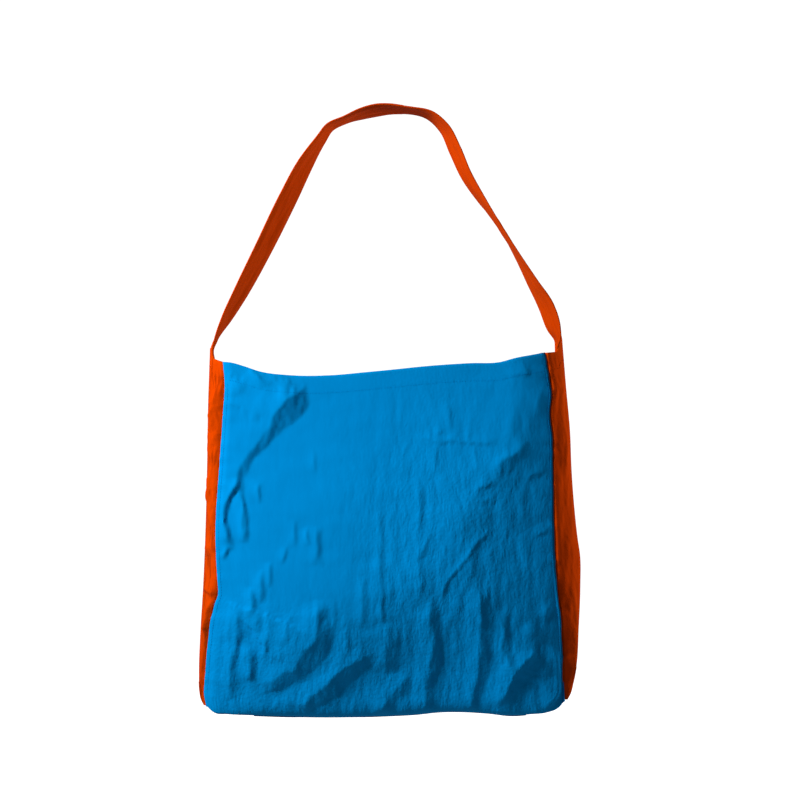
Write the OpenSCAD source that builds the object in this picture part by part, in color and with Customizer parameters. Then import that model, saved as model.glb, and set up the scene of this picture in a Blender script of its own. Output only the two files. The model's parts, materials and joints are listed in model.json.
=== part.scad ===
// Cloth shoulder bag, hung from its strap: two panels joined by a bottom seam, a gusset up each
// side, and the two gusset strips running on upwards, folded double, as one long strap.
// Millimetres. The front faces -Y, +X is to the right seen from the front, and +Z is up.
// The origin is on the underside of the strap at its highest point, where a peg or shoulder goes.

/* [Bag] */
// Height from the bottom seam up to the corners of the mouth
bag_h = 374; // [350:2:400]
// Width of a panel along its mouth
mouth_w = 340; // [320:2:350]
// How much wider a panel is near its bottom than at its mouth
flare = 42; // [20:2:50]
// Radius of the bottom corners, seen from the front
corner_r = 24; // [14:1:34]
// How far the middle of the mouth hangs below its corners
mouth_dip = 15; // [0:1:24]
// Depth of the bag between its side seams at mid height
seam_depth = 54; // [50:1:64]
// Depth of the bag between its side seams at the mouth
mouth_depth = 48; // [46:1:56]
// How far the middle of a panel swells beyond its side seams
belly = 14; // [6:1:20]
// How far the bottom rounds out on each side of its seam
base_out = 14; // [8:1:18]
// How far a gusset's fold stands out beyond the panels
gusset_out = 16; // [8:1:20]

/* [Strap] */
// Height from the corners of the mouth up to the underside of the strap
strap_drop = 262; // [240:2:290]
// Width of the strap
strap_w = 38; // [30:1:42]
// Width of the strap's gathered ends
strap_end_w = 26; // [22:1:28]

/* [Cloth] */
// Thickness of one layer of cloth with its seam allowance
cloth_t = 1.0; // [0.8:0.1:1.2]
// Depth of the hem around the mouth
hem_h = 20; // [14:1:26]

/* [Hidden] */

blue = [0.0, 0.5, 0.78];
dark_blue = [0.0, 0.36, 0.6];
orange = [0.9, 0.28, 0.02];
dark_orange = [0.62, 0.18, 0.01];

mouth_z = -strap_drop;                 // corners of the mouth
bottom_z = mouth_z - bag_h;            // bottom seam, and the axis that the panels open about
swing_z = mouth_z + 20;                // axis that the bag swings about, across both strap ends
strap_t = 1.6;                         // two layers of cloth
thread_t = 0.5;                        // a row of stitches stands this proud
thread_w = 0.8;                        // and is this wide
clear = 0.35;                          // between trim and the cloth that it is sewn to
lap_gap = 1.6;                         // between a gusset's tab and the strap end that laps it
seam_gap = 0.6;                        // between a panel's side edge and its gusset
half_gap = 1.5;                        // from the bag's middle plane to a panel at the bottom seam
air = 0.2;                             // the least gap between two layers that are not sewn together

// Shares of the bag's height, from 0 at the bottom seam to 1 at the corners of the mouth
full_depth_v = 0.43;                   // where the side seams are furthest apart
belly_full_v = 0.35;                   // where the belly has reached its full swell
belly_fade_v = 0.5;                    // where it starts to fade towards the mouth
base_fade_v = 0.1;                     // where the rounded bottom starts to fade
base_gone_v = 0.5;                     // and where it is gone
gusset_foot_v = 0.04;                  // where a gusset's point starts
fold_full_v = 0.33;                    // where a gusset's fold stands furthest out
fold_draw_v = 0.8;                     // where the fold starts to be drawn in again
trim_foot_v = 0.12;                    // where the side seam bindings start
trim_top_v = 0.94;                     // and end

flare_power = 1.2;                     // above 1, the sides spread faster the nearer the bottom
wedge_power = 1.2;                     // above 1, the bag seen from its side narrows to a hollow wedge
belly_fade = 0.6;                      // share of the belly's swell that is gone at the mouth
base_power = 4;                        // the higher, the further the rounded bottom keeps its depth
base_h = 30;                           // height over which the bottom rounds out
seam_lean_h = 20;                      // height below which a panel's inner face slopes up from its foot
fold_power = 0.9;                      // below 1, a gusset's fold swells out quickly above its point
fold_round = 2.2;                      // 2 makes a gusset's fold a plain arc, and more makes it blunter
fold_draw = 2.6;                       // how far the fold is drawn in again at the mouth

tab_rise = 2;                          // from the corners of the mouth up to the foot of a tab
tab_half = strap_end_w / 2;
tab_x = mouth_w / 2 + seam_gap + gusset_out - fold_draw - air;
tab_turns = [0:22.5:67.5];             // angles at which the tab's rounded end has its rows
lap_x = tab_x + cloth_t + lap_gap + strap_t;
tack_drop = 11;                        // from the swing axis down to the lower bar tack
tack_rise = 4;                         // and up to the upper one
tack_h = 3;
tack_in = 4;                           // from an edge of the strap end to the end of a bar tack
edge_in = 3;                           // from an edge of the strap to its row of stitches
edge_foot = 14;                        // from the swing axis up to where those rows start
binding_h = 10;                        // height of the bound allowances of the bottom seam
binding_rise = 2;                      // and their height above the seam
binding_w = 0.84 * mouth_w;

// Where trim lies across a panel or a gusset, as shares of the half width
gusset_hem_edge = 0.83;
panel_hem_edge = 0.94;
panel_stitch_edge = 0.97;
seam_binding_columns = [0.95, 0.97, 0.99];
seam_stitch_columns = [0.981, 0.985];

// Rows lie closer together near the bottom, where the cloth curves most.
panel_rows = [for (i = [0:22]) pow(i / 22, 1.4)];
panel_columns = [for (i = [-18:18]) i / 18];
gusset_rows = [for (i = [0:16]) lerp(gusset_foot_v, 1, pow(i / 16, 1.2))];
gusset_columns = [for (i = [-6:6]) i / 6];
hem_foot_v = 1 - hem_h / bag_h;
hem_top_v = 1 - 1 / bag_h;
hem_rows = [for (i = [0:2]) lerp(hem_foot_v, hem_top_v, i / 2)];
hem_stitch_in = 1.6;                   // from the hem's lower edge up to its row of stitches
hem_stitch_rows = [for (rise = [hem_stitch_in, hem_stitch_in + thread_w]) hem_foot_v + rise / bag_h];

// The strap's centreline seen from the front: x and z, its twist in degrees, and its width as a
// share of strap_w. They suit strap ends 187 from the middle and a drop of 262.
route_x = 187;
route_z = 262;
left_route = [
    [-187, -256, 0, 0.68], [-187, -241, 0, 0.68], [-187, -226, 0, 0.72], [-181, -213, 7, 0.8],
    [-168, -199, 17, 0.92], [-148, -174, 24, 1], [-120, -129, 28, 1], [-94, -79, 29, 1],
    [-80, -53, 24, 1], [-66, -28, 13, 1], [-54, -16, 10, 1], [-36, -7, 12, 1], [-25, -2, 7, 1],
    [-14, 0.8, 0, 1]
];
right_route = [
    [14, 2.6, 0, 1], [26, 0, 7, 1], [40, -4, 12, 1], [53, -11, 15, 1], [64, -27, 19, 1],
    [76, -54, 19, 1], [88, -79, 17, 1], [105, -103, 9, 1], [122, -129, 6, 1], [137, -154, 9, 1],
    [152, -178, 17, 1], [168, -199, 17, 0.92], [181, -213, 7, 0.8], [187, -226, 0, 0.72],
    [187, -241, 0, 0.68], [187, -256, 0, 0.68]
];
apex_half = 14;                        // half the length of the level stretch at the top
apex_z = strap_t / 2;
join_z = apex_z + strap_t + air;       // the right strap laps over the left one

function lerp(a, b, t) = a + (b - a) * t;
function held(t) = min(1, max(0, t));
function smooth(t) = let (c = held(t)) c * c * (3 - 2 * c);
function rounded(t) = sqrt(1 - pow(1 - held(t), 2));
function smooth_spline(a, b, c, d, t) =
    0.5 * (2 * b + (c - a) * t + (2 * a - 5 * b + 4 * c - d) * t * t
        + (3 * b - a - 3 * c + d) * t * t * t);

// ---- shape of the bag: u runs across a panel from -1 to 1, v up it from 0 to 1 ----

function corner_cut(h) = h >= corner_r ? 0 : corner_r - sqrt(pow(corner_r, 2) - pow(corner_r - h, 2));
function half_width(v) =
    mouth_w / 2 + flare / 2 * pow(1 - v, flare_power) - corner_cut(v * bag_h);
function height(u, v) = bottom_z + v * (bag_h - mouth_dip * (1 - u * u));
function seam_half(v) =
    lerp(seam_depth, mouth_depth, smooth((v - full_depth_v) / (1 - full_depth_v))) / 2
        * pow(held(v / full_depth_v), wedge_power);
function swell(u, v) =
    belly * (1 - u * u) * smooth(v / belly_full_v)
        * (1 - belly_fade * smooth((v - belly_fade_v) / (1 - belly_fade_v)));
function base_swell(u, v) =
    base_out * (1 - pow(u, base_power)) * rounded(v * bag_h / base_h)
        * (1 - smooth((v - base_fade_v) / (base_gone_v - base_fade_v)));
function panel_half(u, v) = half_gap + seam_half(v) + swell(u, v) + base_swell(u, v);
function lean(v) = 1 - smooth(v * bag_h / seam_lean_h);
function panel_point(u, v, inset) =
    [u * half_width(v), inset - panel_half(u, v), height(u, v) + inset * lean(v)];
function fold_out(v) =
    gusset_out * pow(held(v / fold_full_v), fold_power)
        - fold_draw * smooth((v - fold_draw_v) / (1 - fold_draw_v));
function gusset_point(v, t, inset) = [
    half_width(v) + seam_gap + cloth_t - inset + fold_out(v) * (1 - pow(abs(t), fold_round)),
    (half_gap + seam_half(v)) * t,
    height(1, v)
];
function tab_point(row, t, inset) = [tab_x + cloth_t - inset, row[1] * t, row[0]];
tab_rows = [
    [mouth_z + tab_rise, tab_half],
    for (a = tab_turns) [swing_z + tab_half * sin(a), tab_half * cos(a)]
];

// ---- route of the strap ----

function route_point(route, i) = route[min(len(route) - 1, max(0, i))];
function fitted(p) = [p[0] * lap_x / route_x, p[1] * strap_drop / route_z, p[2], p[3]];
function curve(route) = [
    for (i = [0:len(route) - 2], k = [0:3]) fitted(smooth_spline(
        route_point(route, i - 1), route[i], route[i + 1], route_point(route, i + 2), k / 4)),
    fitted(route[len(route) - 1])
];
left_curve = concat(
    [for (p = curve(left_route)) if (p[0] < -apex_half - 0.5) p],
    [[-apex_half, apex_z, 0, 1], [apex_half, apex_z, 0, 1]]);
right_curve = concat(
    [[-apex_half, join_z, 0, 1], [apex_half, join_z, 0, 1]],
    [for (p = curve(right_route)) if (p[0] > apex_half + 0.5) p]);

// ---- builders ----

module on_left() { mirror([1, 0, 0]) children(); }
module on_back() { mirror([0, 1, 0]) children(); }

// A closed sheet between two grids of points. Rows run up and columns to the right, seen from outside.
module slab(outer, inner) {
    n = len(outer);
    m = len(outer[0]);
    points = concat([for (row = outer) each row], [for (row = inner) each row]);
    function id(side, i, j) = (side * n + i) * m + j;
    function two(a, b, c, d) = [[a, b, c], [a, c, d]];
    faces = [
        for (i = [0:n - 2], j = [0:m - 2]) each concat(
            two(id(0, i, j), id(0, i + 1, j), id(0, i + 1, j + 1), id(0, i, j + 1)),
            two(id(1, i + 1, j + 1), id(1, i + 1, j), id(1, i, j), id(1, i, j + 1))),
        for (j = [0:m - 2]) each concat(
            two(id(0, 0, j), id(0, 0, j + 1), id(1, 0, j + 1), id(1, 0, j)),
            two(id(0, n - 1, j + 1), id(0, n - 1, j), id(1, n - 1, j), id(1, n - 1, j + 1))),
        for (i = [0:n - 2]) each concat(
            two(id(0, i + 1, 0), id(0, i, 0), id(1, i, 0), id(1, i + 1, 0)),
            two(id(0, i, m - 1), id(0, i + 1, m - 1), id(1, i + 1, m - 1), id(1, i, m - 1)))
    ];
    polyhedron(points, faces);
}

// Part of the front panel's surface, from near to far inside its outer face.
module panel_piece(columns, rows, near, far) {
    slab([for (v = rows) [for (u = columns) panel_point(u, v, near)]],
         [for (v = rows) [for (u = columns) panel_point(u, v, far)]]);
}

// Part of the right gusset's surface, in the same way.
module gusset_piece(columns, rows, near, far) {
    slab([for (v = rows) [for (t = columns) gusset_point(v, t, near)]],
         [for (v = rows) [for (t = columns) gusset_point(v, t, far)]]);
}

// A flat band along a strap curve, its middle moved across the strap and its underside out from it.
module band(line, across, out, width, thickness) {
    last = len(line) - 1;
    function aim(i) =
        let (a = line[max(0, i - 1)], b = line[min(last, i + 1)], d = [b[0] - a[0], b[1] - a[1]])
        d / norm(d);
    function outward(i) = [-aim(i)[1], 0, aim(i)[0]];
    function wide(i) = sin(line[i][2]) * outward(i) - cos(line[i][2]) * [0, 1, 0];
    function face(i) = cos(line[i][2]) * outward(i) + sin(line[i][2]) * [0, 1, 0];
    function edge(i, side, h) =
        [line[i][0], 0, line[i][1]] + wide(i) * line[i][3] * (across + side * width / 2) + face(i) * h;
    slab([for (i = [0:last]) [edge(i, -1, out + thickness), edge(i, 1, out + thickness)]],
         [for (i = [0:last]) [edge(i, -1, out), edge(i, 1, out)]]);
}

module strap_half(line) { band(line, 0, -strap_t / 2, strap_w, strap_t); }

// Two rows of stitches along the strap, clear of its ends and of the join at the top.
module strap_edge_stitches(line) {
    run = [for (p = line) if (abs(p[0]) > apex_half + edge_in && p[1] > swing_z + edge_foot) p];
    for (side = [-1, 1])
        band(run, side * (strap_w / 2 - edge_in), strap_t / 2 + clear, thread_w, thread_t);
}

// Two short bars of dense stitching across the right strap end.
module strap_tacks() {
    for (z = [swing_z - tack_drop, swing_z + tack_rise])
        translate([lap_x + strap_t / 2 + clear, tack_in - tab_half, z])
            cube([thread_t, 2 * (tab_half - tack_in), tack_h]);
}

module gusset_shell() {
    slab(concat([for (v = gusset_rows) [for (t = gusset_columns) gusset_point(v, t, 0)]],
                [for (row = tab_rows) [for (t = gusset_columns) tab_point(row, t, 0)]]),
         concat([for (v = gusset_rows) [for (t = gusset_columns) gusset_point(v, t, cloth_t)]],
                [for (row = tab_rows) [for (t = gusset_columns) tab_point(row, t, cloth_t)]]));
}

module gusset_facing() {
    columns = [for (t = gusset_columns) t * gusset_hem_edge];
    gusset_piece(columns, hem_rows, cloth_t + clear, 2 * cloth_t + clear);
}

module gusset_stitches() {
    columns = [for (t = gusset_columns) t * gusset_hem_edge];
    gusset_piece(columns, hem_stitch_rows, -clear - thread_t, -clear);
}

module panel_shell() { panel_piece(panel_columns, panel_rows, 0, cloth_t); }

module panel_facing() {
    columns = [for (u = panel_columns) u * panel_hem_edge];
    panel_piece(columns, hem_rows, cloth_t + clear, 2 * cloth_t + clear);
}

module panel_stitches() {
    columns = [for (u = panel_columns) u * panel_stitch_edge];
    panel_piece(columns, hem_stitch_rows, -clear - thread_t, -clear);
}

// Tape over the seam allowances inside the bag, beside the right side seam.
module seam_binding() {
    rows = [for (v = panel_rows) if (v > trim_foot_v && v < trim_top_v) v];
    panel_piece(seam_binding_columns, rows, cloth_t + clear, 2 * cloth_t + clear);
}

module seam_stitches() {
    rows = [for (v = panel_rows) if (v > trim_foot_v / 2 && v < trim_top_v) v];
    panel_piece(seam_stitch_columns, rows, -clear - thread_t, -clear);
}

// ---- sub-parts: strap ----

module left_strap() { color(orange) strap_half(left_curve); }
module right_strap() { color(orange) strap_half(right_curve); }
module left_strap_edge_stitches() { color(dark_orange) strap_edge_stitches(left_curve); }
module right_strap_edge_stitches() { color(dark_orange) strap_edge_stitches(right_curve); }
module left_strap_tacks() { color(dark_orange) on_left() strap_tacks(); }
module right_strap_tacks() { color(dark_orange) strap_tacks(); }

module shoulder_join_stitches() {
    color(dark_orange)
        for (x = [-apex_half + edge_in, apex_half - edge_in])
            translate([x - thread_w / 2, edge_in - strap_w / 2, join_z + strap_t / 2 + clear])
                cube([thread_w, strap_w - 2 * edge_in, thread_t]);
}

// ---- sub-parts: sides ----

module left_gusset() { color(orange) on_left() gusset_shell(); }
module right_gusset() { color(orange) gusset_shell(); }
module left_gusset_hem() { color(orange) on_left() gusset_facing(); }
module right_gusset_hem() { color(orange) gusset_facing(); }
module left_gusset_hem_stitches() { color(dark_orange) on_left() gusset_stitches(); }
module right_gusset_hem_stitches() { color(dark_orange) gusset_stitches(); }

// The seam allowances of the bottom seam, bound together and standing up inside the bag.
module bottom_seam_binding() {
    color(dark_blue)
        translate([-binding_w / 2, -strap_t / 2, bottom_z + binding_rise])
            cube([binding_w, strap_t, binding_h]);
}

// ---- sub-parts: front ----

module front_panel() { color(blue) panel_shell(); }
module front_hem_facing() { color(blue) panel_facing(); }
module front_hem_stitches() { color(dark_blue) panel_stitches(); }
module front_left_seam_binding() { color(dark_blue) on_left() seam_binding(); }
module front_right_seam_binding() { color(dark_blue) seam_binding(); }
module front_left_seam_stitches() { color(dark_blue) on_left() seam_stitches(); }
module front_right_seam_stitches() { color(dark_blue) seam_stitches(); }

// ---- sub-parts: back ----

module back_panel() { color(blue) on_back() panel_shell(); }
module back_hem_facing() { color(blue) on_back() panel_facing(); }
module back_hem_stitches() { color(dark_blue) on_back() panel_stitches(); }
module back_left_seam_binding() { color(dark_blue) on_back() on_left() seam_binding(); }
module back_right_seam_binding() { color(dark_blue) on_back() seam_binding(); }
module back_left_seam_stitches() { color(dark_blue) on_back() on_left() seam_stitches(); }
module back_right_seam_stitches() { color(dark_blue) on_back() seam_stitches(); }

left_strap();
right_strap();
shoulder_join_stitches();
left_strap_edge_stitches();
right_strap_edge_stitches();
left_strap_tacks();
right_strap_tacks();
left_gusset();
right_gusset();
left_gusset_hem();
right_gusset_hem();
left_gusset_hem_stitches();
right_gusset_hem_stitches();
bottom_seam_binding();
front_panel();
front_hem_facing();
front_hem_stitches();
front_left_seam_binding();
front_right_seam_binding();
front_left_seam_stitches();
front_right_seam_stitches();
back_panel();
back_hem_facing();
back_hem_stitches();
back_left_seam_binding();
back_right_seam_binding();
back_left_seam_stitches();
back_right_seam_stitches();
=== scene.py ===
"""A cloth shoulder bag that hangs from its strap: crinkled blue panels, orange sides and strap.

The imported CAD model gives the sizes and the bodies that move. Every CAD piece is replaced here by a
sheet of cloth, a tape or a row of stitches, worked out as a surface over a grid. The front faces -Y.
Lengths are in millimetres until a mesh is made.
"""

import json
import math

import bpy
import numpy as np
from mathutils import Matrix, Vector


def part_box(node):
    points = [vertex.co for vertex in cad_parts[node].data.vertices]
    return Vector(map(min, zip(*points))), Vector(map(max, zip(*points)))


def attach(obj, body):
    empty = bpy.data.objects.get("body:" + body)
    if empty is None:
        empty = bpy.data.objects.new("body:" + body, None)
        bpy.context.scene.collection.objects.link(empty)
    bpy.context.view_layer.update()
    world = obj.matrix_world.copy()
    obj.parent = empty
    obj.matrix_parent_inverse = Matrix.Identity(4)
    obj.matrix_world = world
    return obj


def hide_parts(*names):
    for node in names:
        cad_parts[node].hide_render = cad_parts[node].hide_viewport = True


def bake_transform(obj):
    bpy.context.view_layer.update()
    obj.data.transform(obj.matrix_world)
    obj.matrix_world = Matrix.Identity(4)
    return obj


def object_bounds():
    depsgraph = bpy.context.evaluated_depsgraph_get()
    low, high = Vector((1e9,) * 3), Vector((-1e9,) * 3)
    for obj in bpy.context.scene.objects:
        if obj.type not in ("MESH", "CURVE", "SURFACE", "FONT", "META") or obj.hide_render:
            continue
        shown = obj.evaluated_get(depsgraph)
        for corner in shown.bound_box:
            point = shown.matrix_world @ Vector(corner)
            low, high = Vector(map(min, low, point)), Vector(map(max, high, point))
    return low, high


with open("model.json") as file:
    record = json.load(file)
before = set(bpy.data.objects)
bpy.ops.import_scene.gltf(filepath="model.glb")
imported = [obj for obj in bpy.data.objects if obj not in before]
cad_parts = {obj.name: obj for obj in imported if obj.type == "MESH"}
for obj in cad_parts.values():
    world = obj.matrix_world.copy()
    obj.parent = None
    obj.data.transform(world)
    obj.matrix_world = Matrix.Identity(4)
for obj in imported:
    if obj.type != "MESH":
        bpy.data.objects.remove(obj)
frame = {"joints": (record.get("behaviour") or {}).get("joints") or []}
cad_low, cad_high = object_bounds()

MM = 0.001
MOUTH_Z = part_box("front_panel")[1].z / MM
BOTTOM_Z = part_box("front_panel")[0].z / MM
BAG_H = MOUTH_Z - BOTTOM_Z
SWING_Z = next(j for j in frame["joints"] if j["name"] == "strap_swing")["pos_m"][2] / MM
HEM_H = 20  # depth of the hem round the mouth
HEM_STITCH_IN = 1.6  # from the hem's lower edge up to its row of stitches
CLOTH_T = 0.35  # one layer of cloth
HALF_GAP = 0.9  # from the middle plane to a panel at the bottom seam
SEAM_DEPTH = 54  # between the front and the back seam of a gusset, at mid height
MOUTH_DEPTH = 48  # and at the mouth
FULL_DEPTH_V = 0.43  # share of the height where the side seams are furthest apart
STRAP_W = 38  # a strap is a strip of cloth folded to this width
APEX_HALF = 14  # the two straps lap over each other this far each side of the middle


# ---- numbers ----

LINE_STEPS = 1200  # points on a line while its length is worked out
TABLE = 64  # random numbers each way before noise repeats


def lerp(a, b, t):
    return a + (b - a) * t


def smooth(t):
    t = np.clip(t, 0, 1)
    return t * t * (3 - 2 * t)


def bell(t):
    return np.exp(-(t**2))


def arrays(*values):
    """The values as arrays of one shape."""
    return np.broadcast_arrays(*(np.asarray(value, float) for value in values))


def unit(vectors):
    return vectors / np.maximum(np.linalg.norm(vectors, axis=-1, keepdims=True), 1e-9)


def curve(pairs):
    """A smooth function through (where, value) pairs, held level past its ends."""
    x, y = np.array(pairs, float).T
    slope = np.gradient(y, x)

    def at(where):
        where = np.clip(where, x[0], x[-1])
        i = np.clip(np.searchsorted(x, where) - 1, 0, len(x) - 2)
        step = x[i + 1] - x[i]
        t = (where - x[i]) / step
        return (
            (2 * t**3 - 3 * t**2 + 1) * y[i]
            + (t**3 - 2 * t**2 + t) * step * slope[i]
            + (3 * t**2 - 2 * t**3) * y[i + 1]
            + (t**3 - t**2) * step * slope[i + 1]
        )

    return at


def run_length(line):
    """How far along a line each of its points is, from their first two numbers."""
    return np.concatenate([[0], np.cumsum(np.hypot(*np.diff(line[:, :2], axis=0).T))])


def path(points, count):
    """Points spread evenly along a smooth line through the given ones. The first two numbers of
    each are its place, and the others are carried along."""
    points = np.array(points, float)
    chord = run_length(points)
    fine = np.linspace(0, chord[-1], LINE_STEPS)
    line = np.stack([curve(np.stack([chord, c], 1))(fine) for c in points.T], 1)
    length = run_length(line)
    places = np.linspace(0, length[-1], count)
    return np.stack([np.interp(places, length, c) for c in line.T], 1)


def noise(x, y, seed):
    """Soft noise from -1 to 1 with one bump to each unit."""
    table = np.random.default_rng(seed).random((TABLE, TABLE)) * 2 - 1
    i, j = np.floor(x).astype(int), np.floor(y).astype(int)
    a, b = smooth(x - i), smooth(y - j)
    i0, i1, j0, j1 = i % TABLE, (i + 1) % TABLE, j % TABLE, (j + 1) % TABLE
    return lerp(lerp(table[i0, j0], table[i1, j0], a), lerp(table[i0, j1], table[i1, j1], a), b)


def facets(x, y, seed):
    """Sharp-edged cells about one unit across, as cloth creases into: 0 on an edge and up to 1 inside."""
    table = np.random.default_rng(seed).random((TABLE, TABLE, 2))
    i, j = np.floor(x).astype(int), np.floor(y).astype(int)
    near = []
    for across in (-1, 0, 1):
        for up in (-1, 0, 1):
            place = table[(i + across) % TABLE, (j + up) % TABLE]
            near.append(np.hypot(i + across + place[..., 0] - x, j + up + place[..., 1] - y))
    near = np.sort(np.stack(near), axis=0)
    return near[1] - near[0]


# ---- outline of the bag, seen from the front: heights are above the bottom seam ----

left_seam = curve([
    (12, -193.4), (24, -195.6), (48, -194), (87, -190.4), (98, -189.4), (117, -185.8), (126, -183.6),
    (136, -180), (146, -180.2), (160, -181),
    (205, -182.2), (262, -178.7), (325, -174.2), (350, -172.6), (374, -174.6),
])
right_seam = curve([
    (18, 184), (60, 183), (98, 181), (149, 175), (205, 172.4), (262, 171.4), (300, 170.8), (318, 168.6),
    (345, 169.8), (364, 166.6), (384, 163),
])
left_fold = curve([
    (12, -194.5), (20, -198.5), (30, -200.2), (45, -200.5), (98, -198.5), (136, -196.2), (187, -194),
    (262, -192), (325, -191), (386, -189),
])
right_fold = curve([
    (18, 185.4), (26, 189.6), (37, 192.4), (50, 195), (98, 198.2), (140, 199.8), (172, 199.4), (187, 197.2),
    (224, 193.2), (262, 190.5), (300, 189), (350, 184.6), (394, 181),
])
bottom_edge = curve([
    (-192, 12), (-187, 7), (-170, 3.6), (-150, 2.6), (-10, 1.6), (30, 3.4), (60, 6), (100, 4.4), (122, 2.2),
    (148, 3.4), (165, 5.4), (177, 10.5), (184, 18),
])
mouth_edge = curve([
    (-174.3, 374), (-166, 373.2), (-152, 369.3), (-136, 364), (-105, 360), (-60, 360), (-26, 363),
    (5, 366), (37, 369.3), (84, 372.5), (115, 373.7), (131, 378), (147, 381), (163.2, 384),
])
# For each side: the heights of its seam's ends (foot and top), how far its gusset's top edge rises at the
# fold (climb), and the half width of the part that runs on into the strap, as a share of t (tab). groove
# is how deep the gusset is drawn in beside its seam, tuck is how deep it dives under a panel's rolled
# edge, and crinkle is how creased its cloth is, which also sets how dark its painted crease shade is.
SIDES = {
    "left": dict(
        sign=-1, seam=left_seam, fold=left_fold, foot=12, top=374, climb=6, tab=0.52,
        groove=2, tuck=1.4, crinkle=1.0, seed=40,
    ),
    "right": dict(
        sign=1, seam=right_seam, fold=right_fold, foot=18, top=384, climb=2, tab=0.62,
        groove=0.4, tuck=3.6, crinkle=0.3, seed=50,
    ),
}


def seam_half(rise):
    """Half the depth between the side seams, at a height above the foot of the seam."""
    v = np.clip(rise / BAG_H, 0, 1)
    full = lerp(SEAM_DEPTH, MOUTH_DEPTH, smooth((v - FULL_DEPTH_V) / (1 - FULL_DEPTH_V))) / 2
    return full * smooth(v / FULL_DEPTH_V)


def seam_pucker(h, seed):
    """The ripple that the stitching gathers into a side seam, shared by both of its cloths."""
    return noise(h / 7, h * 0 + seed, 7) + 0.6 * noise(h / 17, h * 0 + seed, 8)


# ---- folds of the panels: each is a crest drawn from its top down (or right to left), its height, and
# how far it reaches to the left of the crest (or above it), gently, and to the right (or below it), as a
# slope with a crisp foot. Where a height or a reach is a row of numbers, it changes along the crest. ----

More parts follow.
